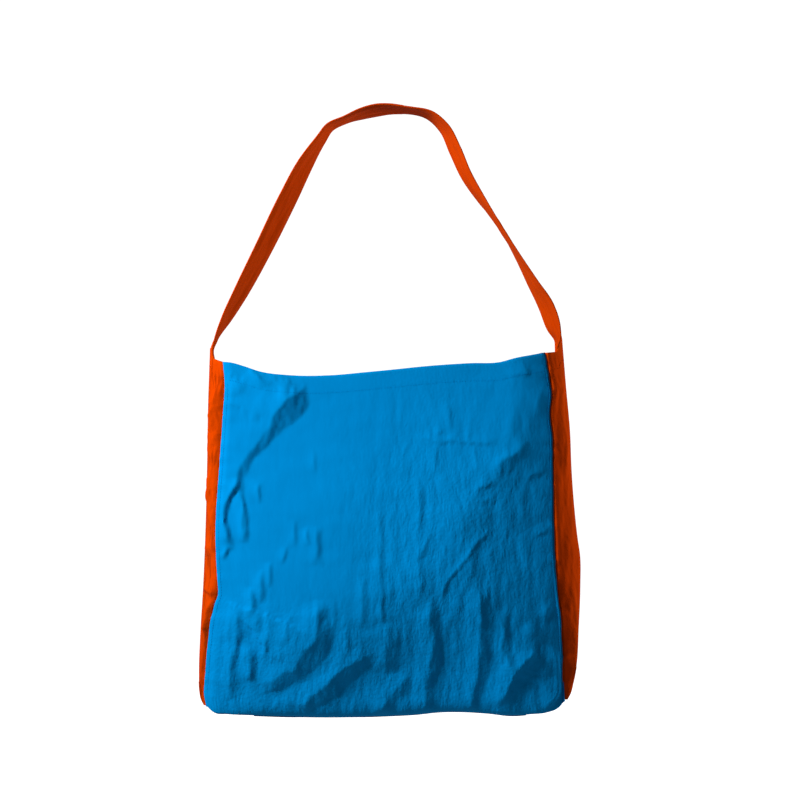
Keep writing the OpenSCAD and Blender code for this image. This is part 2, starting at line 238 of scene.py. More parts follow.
FRONT_FOLDS = [
    # The long fold that sweeps down the upper left, and its tails.
    (
        [(-86, 348), (-103.5, 335), (-111, 327), (-118, 318), (-124.5, 306), (-133.5, 294), (-140, 286.4),
         (-148.5, 274.4), (-154.5, 264), (-159, 254), (-158, 242), (-156.5, 230)],
        (2, 7.5, 10, 8.5, 6.5, 4.3, 3.9, 3.7, 3.6, 3.4, 3, 2), 60,
        (5, 18, 23, 20, 15, 10, 9, 8, 8, 8, 6, 4),
    ),
    (
        [(-158, 252), (-162, 243), (-167, 234), (-171, 225), (-171.5, 211), (-170, 199), (-168, 189),
         (-164, 181)],
        4.2, 9, 4,
    ),
    ([(-164, 182), (-170, 174), (-176, 168)], 3, 5, 3.4),
    ([(-157, 238), (-153, 226), (-151.5, 214), (-152, 204), (-150.8, 193), (-150.8, 184)], 3.2, 8, 3),
    ([(-135, 248), (-136.5, 238), (-135.8, 226)], 1.8, 7, 3),
    # Short upright folds of the left half.
    ([(-99, 212), (-100, 180)], 1.5, 6, 3),
    ([(-86, 200), (-85, 180)], 1.5, 5, 3),
    ([(-108, 186), (-113, 161)], 1.5, 5, 3),
    ([(-76, 203), (-75, 162)], 2, 10, 6),
    ([(-80, 282), (-80, 258)], 0.9, 4, 2.6),
    ([(-144, 139), (-144, 106)], 3, 7, 5),
    ([(-134, 157), (-134, 124)], 2.6, 6, 4.5),
    ([(-125, 165), (-125, 142)], 1.9, 5, 3.4),
    ([(-147, 78), (-147.5, 38)], 3.6, 8, 8),
    ([(-131, 91), (-130, 66)], 2, 5, 3.6),
    ([(-108, 102), (-107, 80)], 1.3, 5, 3),
    ([(-112, 80), (-113, 60)], 1.3, 5, 3),
    (
        [(-159, 124), (-160, 105), (-161, 87), (-163, 70), (-167, 52), (-168, 36), (-167, 20)],
        (2, 3.2, 3.2, 3, 3.4, 4, 3), 16, (3, 7, 8, 7, 8, 10, 10),
    ),
    # The two curved folds that run down to the left corner.
    (
        [(-75, 126), (-75, 108), (-75.5, 90), (-80, 82), (-88, 74), (-94.6, 66), (-101.4, 56.4),
         (-109, 48.6), (-119, 43), (-128.7, 39), (-137, 34)],
        (3.9, 4.7, 5.5, 6.2, 6.6, 6.6, 6.2, 5.5, 4.7, 3.9, 3.1), 50,
        (10, 12, 14, 18, 20, 20, 19, 17, 15, 14, 12),
    ),
    (
        [(-17, 68), (-37, 62), (-49, 52.5), (-60.5, 44.7), (-68, 37), (-78, 29), (-88, 21), (-99, 13.5)],
        (2.3, 4.7, 5.5, 5.9, 5.9, 5.5, 4.7, 3.1), 20, (8, 13, 16, 18, 18, 17, 14, 10),
    ),
    # Upright folds that hang to the bottom seam, from the middle to the right.
    ([(-45, 96), (-45, 68)], 1.4, 6, 4.5),
    ([(-58, 130), (-59, 84)], 0.9, 6, 4),
    ([(-28, 152), (-27, 95)], 1.2, 8, 6),
    ([(-10, 218), (-10, 150), (-8, 100)], 1.2, 7, 5),
    ([(-5, 104), (-5, 75), (-6, 50)], 3.5, 14, 16),
    ([(16.4, 48), (4, 32), (-7.4, 16), (-14, 7)], 3.5, 14, 14),
    ([(32, 165), (32, 130), (31, 100)], 0.8, 5, 4),
    (
        [(41, 124), (43.5, 98), (44.7, 75), (42.4, 57), (38, 39), (35.6, 20.6), (34.5, 5)],
        (2.3, 3.4, 3.6, 3.6, 3.6, 3.6, 3.1), 14, (8, 10, 10, 11, 11, 11, 10),
    ),
    ([(70, 140), (72, 112)], 1.2, 6, 6),
    (
        [(92, 150), (93.4, 125), (93.4, 91), (93.4, 70), (92, 57), (88, 39), (84, 21), (82, 6)],
        (1.6, 3.5, 4.7, 4.7, 4.7, 3.9, 3.1, 2.7), 13, (8, 12, 15, 15, 14, 12, 10, 9),
    ),
    ([(117, 114), (117.2, 91), (118.3, 75), (121.7, 64), (126.3, 52), (131, 43)], 2.3, 7, 8),
    (
        [(156.8, 79), (146.6, 68), (137.5, 58), (129.6, 49), (124, 36.5), (118, 25), (112.6, 12)],
        (3, 6, 6.5, 6.5, 6, 5, 3), 16, 15,
    ),
    ([(141, 101), (149, 90), (157, 79)], 2.3, 12, 8),
    ([(168, 78), (174, 64), (179.5, 41), (176, 25), (160, 11)], (2, 3.1, 3.5, 3.5, 2.7), 24, 5),
    ([(167, 128), (163.6, 116), (158, 100)], 2, 6, 8),
    # Creases drawn across the cloth.
    ([(103, 198), (86, 178), (70, 159), (50, 132)], 1.1, 3, 2.4),
    (
        [(145, 294), (139, 288), (132, 279), (122, 273.5), (114, 264), (111, 252)],
        (1, 2.2, 2.6, 2.4, 2, 1), 7, (6, 9, 10, 9, 7, 5),
    ),
    ([(112, 253), (98, 246), (86, 243)], 1.4, 5, 4),
    ([(132, 268), (124, 263), (120, 255)], 1, 5, 3),
    ([(112, 288), (88, 291), (60, 292), (32, 293)], 1.4, 8, 3.4),
    ([(58, 303), (45, 300)], 1.1, 4, 2.6),
    ([(62, 332), (64, 299)], 1.2, 5, 3),
    ([(168, 201), (150, 192)], 1.2, 6, 3),
    ([(165, 262), (148, 258), (138, 248)], 1, 6, 4),
    ([(110, 232), (96, 228), (82, 233)], 0.9, 5, 3),
    ([(42, 195), (32, 177), (30, 148)], 1.5, 8, 5),
    ([(47.6, 289), (46, 255)], 1.3, 5, 3),
    # Gathers below the corners of the mouth.
    ([(-148, 367), (-137, 356), (-127, 347)], 2, 10, 4),
    ([(-158, 358), (-156, 338)], 1.6, 8, 8),
    ([(-167.5, 362), (-167, 354)], 0.8, 3, 2.5),
    ([(-107, 360), (-102, 348)], 1.2, 4, 2.6),
    ([(137, 373), (145, 361)], 0.8, 5, 3),
    ([(147, 362), (120, 361)], 0.8, 6, 3),
    ([(156, 343), (155, 330), (158, 316)], 1.2, 6, 7),
]
BACK_FOLDS = [
    ([(110, 352), (128, 320), (148, 282), (158, 240)], (3, 5.5, 5, 2.5), 18, (22, 36, 34, 20)),
    ([(60, 140), (66, 90), (88, 50), (130, 24)], (2.5, 6, 7, 4), 24, (20, 36, 42, 26)),
    ([(-120, 330), (-90, 290), (-84, 240)], 3, 24, 18),
    ([(-40, 180), (-46, 110), (-42, 30)], (2, 4.2, 3.6), 18, (12, 20, 18)),
    ([(-88, 150), (-92, 90), (-86, 20)], (3, 5.8, 4.6), 18, (14, 22, 18)),
    ([(-134, 120), (-140, 70), (-130, 16)], (3, 5.2, 4.2), 16, (12, 19, 16)),
    ([(10, 150), (14, 90), (8, 20)], (2, 4.2, 3.6), 16, (12, 18, 16)),
    ([(104, 140), (100, 100), (108, 60)], 2.8, 12, 12),
    ([(-20, 320), (-14, 260), (-18, 200)], 2, 10, 12),
]


CREST_STEPS = 40
RUNOUT = 14  # millimetres over which a fold dies away at each end, if it is long enough
GENTLE_MIN = 7  # the gentle side of a fold is no wider than this at its ends


def fold(x, h, crest, height, left, right):
    """How far a fold lifts the cloth at each place."""
    line = path(crest, CREST_STEPS)
    best, side, along = np.full(x.shape, 1e9), np.zeros(x.shape), np.zeros(x.shape)
    steps = np.diff(line, axis=0)
    for i, (start, step) in enumerate(zip(line[:-1], steps)):
        t = np.clip(((x - start[0]) * step[0] + (h - start[1]) * step[1]) / (step @ step), 0, 1)
        dx, dh = x - start[0] - t * step[0], h - start[1] - t * step[1]
        d = np.hypot(dx, dh)
        closer = d < best
        best = np.where(closer, d, best)
        side = np.where(closer, step[0] * dh - step[1] * dx, side)
        along = np.where(closer, (i + t) / len(steps), along)
    height, right = (
        np.interp(along, np.linspace(0, 1, np.size(row)), np.atleast_1d(row)) for row in (height, right)
    )
    runout = np.clip(RUNOUT / np.hypot(*steps.T).sum(), 0.16, 0.5)
    to_end = np.minimum(along, 1 - along)
    taper = np.sqrt(smooth(to_end / runout))
    left = np.minimum(left, GENTLE_MIN + left * smooth(to_end / 0.45))
    slope = np.where(side > 0, np.clip(1 - best / right, 0, 1), np.exp(-((best / left) ** 1.25)))
    return height * taper * slope


def crumple(x, h, seed):
    """The facets of worn, thin cloth. Most stand upright, because the cloth hangs."""
    x = x + 5 * noise(x / 40, h / 60, seed) + 2.5 * noise(x / 9, h / 24, seed + 1)
    h = h + 12 * noise(x / 30, h / 50, seed + 2) + 4 * noise(x / 8, h / 14, seed + 8)
    large = facets(x / 19, h / 66, seed + 3)
    small = facets(x / 9, h / 22, seed + 4)
    fine = facets(x / 5.5, h / 8, seed + 5)
    return 1.3 * large + 0.7 * small * (0.5 + large) + 0.45 * fine


CREASES = 2600  # on each panel
UPRIGHT = 0.76  # share of them that stand nearly upright


def creases(x, h, strength, seed):
    """Short sharp ridges and furrows at random places on a map of the cloth, most of them upright."""
    pick = np.random.default_rng(seed)
    relief = np.zeros(x.shape)
    columns, rows = x[0], h[:, 0]
    for _ in range(CREASES):
        where = np.array([pick.uniform(columns[0], columns[-1]), pick.uniform(rows[0], rows[-1])])
        angle = pick.normal(0, 0.13) if pick.random() < UPRIGHT else pick.uniform(-1.5, 1.5)
        half = pick.uniform(7, 34) * (1 - 0.6 * min(1, abs(angle)))
        left, right = pick.uniform(1.2, 4.5, 2)
        height = pick.normal(0, 0.55)
        reach = half + 14
        i0, i1 = np.searchsorted(rows, (where[1] - reach, where[1] + reach))
        j0, j1 = np.searchsorted(columns, (where[0] - reach, where[0] + reach))
        part = (slice(i0, i1), slice(j0, j1))
        dx, dh = x[part] - where[0], h[part] - where[1]
        along = dx * math.sin(angle) + dh * math.cos(angle)
        off = dx * math.cos(angle) - dh * math.sin(angle) + 1.2 * np.sin(along / 7 + where[0])
        ends = np.clip(1 - (along / half) ** 2, 0, 1)
        width = np.where(off > 0, right, left)
        relief[part] += height * ends * np.exp(-np.abs(off) / width)
    return relief * strength


# ---- surface of a panel: u runs across it from -1 to 1, v up it from 0 to 1 ----

BELLY = 19  # how far the middle stands out beyond the side seams
# Over the panel's height: u where the belly starts to fall away to the right, and how abruptly it does
BELLY_TO = curve([(0, 0.2), (0.3, 0.48), (0.6, 0.48), (0.74, 0.68), (1, 0.8)])
BELLY_FALL = curve([(0, 1.6), (0.3, 1.3), (0.62, 1.3), (0.84, 1.6), (1, 1.6)])
BASE_OUT = 12  # how far the bottom rounds out beside its seam
BASE_H = 20  # height over which it does so
BACK_DROP = 2.5  # the back of the mouth hangs this much lower than its front


def panel_form(u, v, back):
    """The panel without its folds, and how far each point is above the bottom seam."""
    left = left_seam(lerp(SIDES["left"]["foot"], SIDES["left"]["top"], v))
    right = right_seam(lerp(SIDES["right"]["foot"], SIDES["right"]["top"], v))
    x = lerp(left, right, (u + 1) / 2)
    low = bottom_edge(x)
    high = mouth_edge(x) - (BACK_DROP * (1 - u**6) if back else 0)
    h = lerp(low, high, v)
    rise = h - low
    full_from, full_to = lerp(-0.45, 0.28, v), BELLY_TO(v)
    slack = (np.maximum(full_from - u, 0) / (full_from + 1)) ** 2
    slack = slack + (np.maximum(u - full_to, 0) / (1 - full_to)) ** BELLY_FALL(v)
    full_v = lerp(0.35, 0.62, smooth((u + 0.2) / 0.9))
    belly = BELLY * (1 - slack) * smooth(v / full_v) * (1 - 0.55 * smooth((v - 0.55) / 0.45))
    belly = belly * (1 + 0.24 * smooth(u / 0.5 + 0.1) * bell((v - 0.45) / 0.25))
    curl = np.sqrt(1 - (1 - np.clip(rise / BASE_H, 0, 1)) ** 2)
    base = BASE_OUT * (1 - u**4) * curl * (1 - smooth((v - 0.1) / 0.4))
    return np.stack([x, -(HALF_GAP + seam_half(rise) + belly + base), BOTTOM_Z + h], -1), h, rise


def normals_of(surface, u, v, step=0.0015):
    """Outward directions of a surface, from its neighbouring points."""
    across = surface(u + step, v) - surface(u - step, v)
    up = surface(u, v + step) - surface(u, v - step)
    return unit(np.cross(across, up))


MAP_STEP = 0.9
MAP_X = np.arange(-204, 204.5, MAP_STEP)
MAP_H = np.arange(-4, 392.5, MAP_STEP)
CRUMPLE = 0.6  # how strongly the cloth is crumpled between its folds
HEM_CRUMPLE = 0.25  # and the share of that which the hem's two layers leave
PANEL_SEEDS = (10, 20)  # front and back
HALF_W = 178  # from a panel's middle to its side seams


def panel_wear(x, h, back):
    """How crumpled a panel is: its front is smoothest at the upper left, from 0 to 1."""
    if back:
        return np.full(x.shape, 0.8)
    right = smooth((x + 85) / 125) * lerp(0.3, 1, smooth((330 - h) / 120))
    right = right * lerp(1, 0.7, smooth((x - 90) / 40))
    return lerp(0.13, 1, np.maximum(right, smooth((165 - h) / 110)))


def worn_map(back):
    """The panel's crumpling and its folds, in millimetres over the whole of the cloth."""
    x, h = np.meshgrid(MAP_X, MAP_H)
    seed = PANEL_SEEDS[back]
    strength = panel_wear(x, h, back)
    under_hem = smooth((mouth_edge(x) - h - HEM_H + 3) / 8)
    worn = crumple(x, h, seed) * strength + creases(x, h, strength, seed)
    worn *= CRUMPLE * lerp(HEM_CRUMPLE, 1, under_hem)
    bends = np.zeros(x.shape)
    wavy_x = x + 1.6 * noise(x / 7, h / 15, seed + 12) + 0.8 * noise(x / 3, h / 9, seed + 13)
    wavy_h = h + 2.5 * noise(x / 11, h / 18, seed + 14) + 1.2 * noise(x / 4, h / 7, seed + 15)
    for crest, height, left, right in BACK_FOLDS if back else FRONT_FOLDS:
        reach = max(3.4 * left, np.max(right))
        (x0, h0), (x1, h1) = np.min(crest, axis=0) - reach, np.max(crest, axis=0) + reach
        part = slice(*np.searchsorted(MAP_H, (h0, h1))), slice(*np.searchsorted(MAP_X, (x0, x1)))
        bends[part] += fold(wavy_x[part], wavy_h[part], crest, height, left, right)
    return worn, bends


WORN = [worn_map(back) for back in (False, True)]


def read_map(values, x, h):
    """A map's value at any place, worked out between its points."""
    i = np.clip((h - MAP_H[0]) / MAP_STEP, 0, len(MAP_H) - 1.001)
    j = np.clip((x - MAP_X[0]) / MAP_STEP, 0, len(MAP_X) - 1.001)
    i0, j0 = i.astype(int), j.astype(int)
    a, b = j - j0, i - i0
    low = lerp(values[i0, j0], values[i0, j0 + 1], a)
    return lerp(low, lerp(values[i0 + 1, j0], values[i0 + 1, j0 + 1], a), b)


def panel_relief(u, x, h, rise, back):
    """How far the cloth stands out from the panel's plain form."""
    seed = PANEL_SEEDS[back]
    worn, bends = WORN[back]
    side = np.minimum(u + 1, 1 - u) * HALF_W
    top = mouth_edge(x) - h
    relief = read_map(worn, x, h) * smooth(side / 12) * smooth(rise / 7)
    relief = relief + read_map(bends, x, h) * smooth(side / 9) * smooth(rise / 9)
    relief = relief + 0.9 * seam_pucker(h, seed + np.sign(u)) * np.exp(-side / 8) * smooth(rise / 30)
    hem_pucker = noise(x / 5, x * 0 + seed, 9)
    relief = relief - (0.04 + 0.06 * hem_pucker) * bell((top - HEM_H + HEM_STITCH_IN) / 1.3)
    relief = relief + 0.12 * smooth((HEM_H - top) / 3) + 0.3 * noise(x / 30, h / 12, seed + 6)
    seam_roll = lerp(0.8, 3.0, smooth(u)) * smooth(1 - side / lerp(2.0, 4.0, smooth(u)))
    roll = seam_roll + 0.9 * smooth(1 - top / 1.4) + 0.6 * smooth(1 - rise / 1.5)
    return relief - roll


def panel_surface(u, v, back=False):
    u, v = arrays(np.clip(u, -1, 1), np.clip(v, 0, 1))
    form, h, rise = panel_form(u, v, back)
    out = normals_of(lambda a, b: panel_form(np.clip(a, -1, 1), np.clip(b, 0, 1), back)[0], u, v)
    form = form + out * panel_relief(u, form[..., 0], h, rise, back)[..., None]
    return form * np.array([1, -1, 1]) if back else form


# ---- surface of a gusset: t runs from -1 at the front seam to 1 at the back seam, v up it ----

TUCK = 0.14  # share of t by which the cloth reaches in behind the panels
TUCK_REACH = 6  # and how far that is
TAB_H = 9  # a gusset runs on this far into the root of its strap
FOLD_SHAPE = 1.6  # 2 makes a gusset's fold round, and less makes it sharper
BACK_SHARE = 0.45  # the back half has the same folds as the front half, this much as high
# Folds of a gusset's front half: millimetres in front of its middle (as negative numbers) and height.
SIDES["left"]["folds"] = [
    ([(-20, 352), (-18, 330), (-12, 300), (-10, 270)], 4.4, 6, 3.6),
    ([(-11, 344), (-16, 318), (-21, 286)], 4, 5, 3.6),
    ([(-16, 300), (-18, 262), (-15, 226)], 4, 5, 3.6),
    ([(-3, 333), (-14, 331), (-22, 336)], 2.4, 5, 3.4),
    ([(-9, 262), (-14, 232), (-21, 200)], 3.8, 6, 3.6),
    ([(-2, 182), (-14, 178), (-25, 184)], 3.6, 30, 9),
    ([(-3, 138), (-16, 134), (-25, 128)], 4, 9, 4.4),
    ([(-17, 124), (-12, 96), (-15, 62)], 3.6, 5, 3.6),
    ([(-21, 112), (-19, 84), (-12, 52)], 3, 5, 3.4),
    ([(-4, 99), (-12, 95), (-20, 102)], 2, 5, 3),
]
SIDES["right"]["folds"] = [
    ([(-20, 352), (-14, 344), (-5, 347)], 1.4, 5, 4),
    ([(-16, 330), (-13, 290), (-15, 250)], 0.9, 5, 5),
    ([(-10, 210), (-14, 160), (-12, 110)], 1.1, 6, 6),
    ([(-19, 190), (-20, 150), (-18, 120)], 0.9, 4, 4),
]


def gusset_height(side, t, v):
    """The top edge climbs to the strap between its two seams."""
    climb = side["climb"] * (1 - np.abs(t) ** FOLD_SHAPE)
    climb = climb + TAB_H * smooth((side["tab"] - np.abs(t)) / 0.3)
    return lerp(side["foot"], side["top"] - 0.6 + np.where(np.abs(t) < 1, climb, 0), v)


def gusset_surface(side, t, v):
    t, v = arrays(t, v)
    h = gusset_height(side, t, v)
    inner, outer = side["seam"](h), side["fold"](h)
    depth = HALF_GAP + seam_half(h - side["foot"])
    flat = np.clip(t, -1, 1)
    x = lerp(outer, inner, np.abs(flat) ** FOLD_SHAPE)
    y = depth * flat
    under = np.clip(np.abs(t) - 1, 0, TUCK) / TUCK
    x = x - side["sign"] * TUCK_REACH * under
    y = y - np.sign(t) * np.minimum(side["tuck"], 0.5 * depth) * smooth(under * 4.5)
    pucker = 0.9 * seam_pucker(h, 10 + side["sign"]) * np.exp(-(1 - np.abs(flat)) * depth / 5)
    y = y + np.sign(t) * pucker * smooth((h - side["foot"]) / 30)
    # random creases, long ones up the strip and short ones across it, and the folds on top of them
    seed = side["seed"]
    wide = (t + 1) * depth
    ripple = 0.9 * facets(wide / 9, h / 55, seed) + 0.6 * facets(wide / 5 + h / 20, h / 16, seed + 1)
    relief = ripple + 1.1 * noise(wide / 12, h / 40, seed + 2)
    share = np.where(t > 0, BACK_SHARE, 1)
    for crest, height, low, high in side["folds"]:
        relief = relief + share * fold(-np.abs(t) * depth, h, crest, height, low, high)
    relief = relief * smooth((1 - np.abs(t)) * depth / 4) * smooth((h - side["foot"]) / 20)
    relief = relief * smooth(np.abs(t) / 0.5)
    groove = np.minimum(side["groove"], 0.4 * depth) * smooth(1 - (1 - np.abs(flat)) * depth / 3)
    relief = relief - groove * (1 - smooth(under))
    slope = np.sign(t) * np.abs(flat) ** (FOLD_SHAPE - 1) * (outer - inner) * FOLD_SHAPE
    out = unit(np.stack([depth * side["sign"], slope * side["sign"], h * 0], -1))
    return np.stack([x, y, BOTTOM_Z + h], -1) + out * relief[..., None]


# ---- surface of a strap: a strip of cloth folded double, the fold along its front edge ----
# Each route gives the front edge seen from the front: x, z, how far the back edge stands inside it,
# the strap's width, and how far its middle stands out round the gusset's fold at its root.

LEFT_ROUTE = [
    (-187.4, MOUTH_Z - 12, 0, 18, 3.2), (-187.4, MOUTH_Z, 0, 18, 2.8), (-187.8, -250, 0, 20, 1.6),
    (-184.8, -239.4, 1.2, 25, 1), (-175.6, -214, 8.6, 31, 0.4), (-163.8, -189, 12.6, 36, 0),
    (-139.7, -138.6, 16, 38, 0), (-115.5, -88, 17, 38, 0), (-94.5, -50, 14, 38, 0), (-76, -26, 8.4, 38, 0),
    (-66, -13.6, 6.6, 37, 0), (-48, -5.4, 5, 38, 0), (-31.5, 2.6, 8.6, 38, 0), (-14.7, 7.2, 9.8, 38, 0),
    (2, 7.3, 7.5, 38, 0), (14, 5.5, 5.4, 38, 0),
]
RIGHT_ROUTE = [
    (180.4, MOUTH_Z - 12, 0, 22, 6), (180.2, -258, 0, 22, 6), (180.8, -247, 1, 24, 5.6),
    (181.4, -239.4, 4.4, 26, 3.4), (179.6, -226, 12, 28, 1.4), (170.8, -201.6, 14, 34, 0),
    (153.6, -176.4, 9, 37, 0), (136.5, -151.2, 4, 38, 0), (112.4, -113.4, 1.5, 38, 0),
    (97.7, -88.2, 6.4, 38, 0), (84, -63, 9.6, 38, 0), (73.5, -37.8, 10.8, 38, 0),
    (60.9, -14.4, 9, 38, 0), (44, -0.4, 6.8, 38, 0), (27, 4, 4.4, 38, 0), (10.5, 7.2, 5.4, 38, 0),
    (-5, 8.8, 8, 38, 0), (-14, 8.6, 9.6, 38, 0),
]
# lift is how far a strap's end rises to lie over the other one
STRAPS = {
    "left": dict(sign=-1, route=LEFT_ROUTE, seed=60, lift=0),
    "right": dict(sign=1, route=RIGHT_ROUTE, seed=70, lift=1.4),
}
ROUTE_STEPS = 900
STRAP_CRINKLE = 0.25
EDGE_STITCH_IN = 3  # from the strap's edges to the rows of stitches, which draw its layers together
SHEET_TURN = 0.012  # share of the folded sheet's half over which it turns round the front fold
for strap in STRAPS.values():
    strap["line"] = path(strap["route"], ROUTE_STEPS)
    strap["length"] = float(np.hypot(*np.diff(strap["line"][:, :2], axis=0).T).sum())


def strap_surface(strap, q, s, layer):
    """q runs across the strap from its front edge (0) to its back edge (1), s along it from its root
    (0) to the top (1), and layer is -1 on the inside of the loop and 1 on the outside."""
    q, s, layer = arrays(q, s, layer)
    line = strap["line"]
    at = np.clip(s, 0, 1) * (len(line) - 1)
    index = np.arange(len(line))
    x, z, seen, width, bend = (np.interp(at, index, c) for c in line.T)
    tx, tz = (np.interp(at, index, np.gradient(c)) for c in line[:, :2].T)
    size = np.hypot(tx, tz)
    inward = np.stack([-strap["sign"] * tz, tx * 0, strap["sign"] * tx], -1) / size[..., None]
    half = np.sqrt(np.maximum(width**2 - seen**2, 1)) / 2
    # the front edge lies inside the silhouette while the root is bent round the gusset's fold
    round_fold = np.abs(2 * q - 1) ** FOLD_SHAPE
    front = np.stack([x, -half, z], -1)
    across = inward * seen[..., None] + np.stack([x * 0, 2 * half, x * 0], -1)
    point = front + across * q[..., None] + inward * (bend * round_fold)[..., None]
    along = np.stack([tx, tx * 0, tz], -1)
    out = unit(np.cross(along, across) * strap["sign"])
    far, wide = s * strap["length"], q * width
    seed = strap["seed"]
    ripple = 1.1 * facets(wide / 11, far / 62, seed)
    ripple = ripple + 0.45 * facets(wide / 5, far / 24 + wide / 30, seed + 1)
    ripple = ripple + 0.8 * noise(wide / 16, far / 34, seed + 2) - 0.5
    edge = np.minimum(q, 1 - q) * width
    ripple = ripple * smooth(edge / 5) * smooth(far / 30)
    gap = 0.5 + 0.45 * smooth(edge / 8) - 0.3 * bell((edge - EDGE_STITCH_IN) / 0.9)
    return point + out * (ripple + layer * gap + strap["lift"] * smooth((s - 0.86) / 0.07))[..., None]


def strap_fold(strap, p, s):
    """The folded strip as one sheet: p runs from 0 at its inner back edge, round the front fold at
    0.5, to 1 at its outer back edge."""
    turn = np.clip((p - 0.5) / SHEET_TURN, -1, 1)
    # the outer layer reaches a little further back than the inner one
    q = np.clip(np.abs(2 * p - 1) - SHEET_TURN, 0, 1) * np.where(p > 0.5, 1.015, 0.99)
    return strap_surface(strap, q, s, np.sin(turn * np.pi / 2))


# ---- meshes ----


def add_object(name, data):
    thing = bpy.data.objects.new(name, data)
    bpy.context.collection.objects.link(thing)
    return thing


def make_mesh(name, points, faces, flat):
    """A smooth mesh. flat is where each point is on the flat cloth, in metres, for the UV map."""
    mesh = bpy.data.meshes.new(name)
    mesh.from_pydata((points * MM).tolist(), [], faces)
    loops = np.zeros(len(mesh.loops), np.int32)
    mesh.loops.foreach_get("vertex_index", loops)
    mesh.uv_layers.new(name="cloth").data.foreach_set("uv", flat[loops].astype(np.float32).ravel())
    mesh.polygons.foreach_set("use_smooth", np.ones(len(mesh.polygons), bool))
    mesh.update()
    return mesh


def add_piece(mesh, node, material, body):
    """A piece that stands for a node of the frame, and rides on a body if one is given."""
    piece = add_object(mesh.name, mesh)
    mesh.materials.append(MATERIALS[material])
    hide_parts(node)
    if body:
        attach(piece, body)
    return piece


def even(low, high, count, edge):
    """Grid lines from low to high, with a few more close to both ends."""
    near = np.concatenate([[0], edge[:-1]])
    inside = np.linspace(low + edge[-1], high - edge[-1], count)
    return np.concatenate([low + near, inside, high - near[::-1]])


def cloth_piece(
    name, node, material, surface, across, up, size, body=None, edges=(0, 0), crinkle=1.0,
):
    """A closed sheet over a grid of a surface. size is the flat cloth's width and length in metres,
    and edges are the widths of the paler strips along its sides and its ends, in metres: partly worn cloth
    and partly a painted highlight. crinkle is how creased the cloth is, from 0 to 1: a number, or a
    function of its points; on the orange strips it also sets how dark the painted crease shade is."""
    a, b = np.meshgrid(across, up)
    outer = surface(a, b)
    out = unit(np.cross(np.gradient(outer, axis=1), np.gradient(outer, axis=0)))
    inner = outer - out * CLOTH_T
    grid = np.arange(a.size).reshape(a.shape)
    face = np.stack([grid[:-1, :-1], grid[:-1, 1:], grid[1:, 1:], grid[1:, :-1]], -1).reshape(-1, 4)
    rim = np.concatenate([grid[0, :-1], grid[:-1, -1], grid[-1, :0:-1], grid[:0:-1, 0]])
    after = np.roll(rim, -1)
    rim_face = np.stack([rim, rim + a.size, after + a.size, after], -1)
    faces = np.concatenate([face, face[:, ::-1] + a.size, rim_face]).tolist()
    places = [(c - c.min()) / np.ptp(c) * length for c, length in zip((a, b), size)]
    flat = np.stack(places, -1).reshape(-1, 2)
    points = np.concatenate([outer.reshape(-1, 3), inner.reshape(-1, 3)])
    mesh = make_mesh(name, points, faces, np.concatenate([flat, flat]))
    # Paler strips along the edges: partly worn cloth and partly a painted highlight.
    wear_and_highlight = np.zeros(a.shape)
    for place, length, edge in zip(places, size, edges):
        if edge:
            wear_and_highlight = np.clip(1 - np.minimum(place, length - place) / edge, wear_and_highlight, 1)
    crinkle = crinkle(outer) if callable(crinkle) else np.full(a.shape, crinkle)
    for key, value in (("wear_and_highlight", wear_and_highlight), ("crinkle", crinkle)):
        value = np.tile(value.ravel(), 2).astype(np.float32)
        mesh.attributes.new(key, "FLOAT", "POINT").data.foreach_set("value", value)
    mesh.set_sharp_from_angle(angle=math.radians(70))
    return add_piece(mesh, node, material, body)


STITCH_SIDES = 6
STITCH_RINGS = [(-0.5, 0.25), (-0.42, 0.75), (-0.25, 1), (0.25, 1), (0.42, 0.75), (0.5, 0.25)]


def stitch_shape():
    """A capsule one unit long and one unit thick."""
    turn = np.arange(STITCH_SIDES) / STITCH_SIDES * 2 * np.pi
    points = [(x, r / 2 * math.cos(a), r / 2 * math.sin(a)) for x, r in STITCH_RINGS for a in turn]
    faces = []
    for low in range(0, len(points) - STITCH_SIDES, STITCH_SIDES):
        high = low + STITCH_SIDES
        for k in range(STITCH_SIDES):
            n = (k + 1) % STITCH_SIDES
            faces.append([low + k, high + k, high + n, low + n])
    faces.append(list(range(STITCH_SIDES)))
    faces.append([len(points) - 1 - k for k in range(STITCH_SIDES)])
    return points, faces


def stitch_piece(
    name, node, material, rows, body=None, length=2.3, pitch=3.0, thick=0.5, slant=0.0,
):
    """Rows of stitches. Each row is (points on the cloth, outward directions)."""
    shape, shape_faces = stitch_shape()
    points, faces, flat = [], [], []
    for line, outward in rows:
        far = np.concatenate([[0], np.cumsum(np.linalg.norm(np.diff(line, axis=0), axis=1))])
        count = max(1, int(far[-1] / pitch))
        for k in range(count):
            where = (k + 0.5) * far[-1] / count
            ends = [np.array([np.interp(w, far, c) for c in line.T]) for w in (where - 0.6, where + 0.6)]
            out = unit(np.array([np.interp(where, far, c) for c in outward.T]))
            along = unit(ends[1] - ends[0])
            across = np.cross(out, along)
            lean = slant * (1 if k % 2 else -1)
            leaning = along * math.cos(lean) + across * math.sin(lean)
            beside = across * math.cos(lean) - along * math.sin(lean)
            middle = (ends[0] + ends[1]) / 2 + out * thick * 0.15
            start = len(points)
            for p in shape:
                points.append(middle + leaning * p[0] * length + beside * p[1] * thick + out * p[2] * thick)
                flat.append(((where + p[0] * length) * MM, p[1] * thick * MM))
            faces += [[start + i for i in f] for f in shape_faces]
    return add_piece(make_mesh(name, np.array(points), faces, np.array(flat)), node, material, body)


def row_on(surface, across, up):
    """A row of stitches along a line of a surface."""
    across, up = arrays(across, up)
    return surface(across, up), normals_of(surface, across, up)


# ---- materials ----


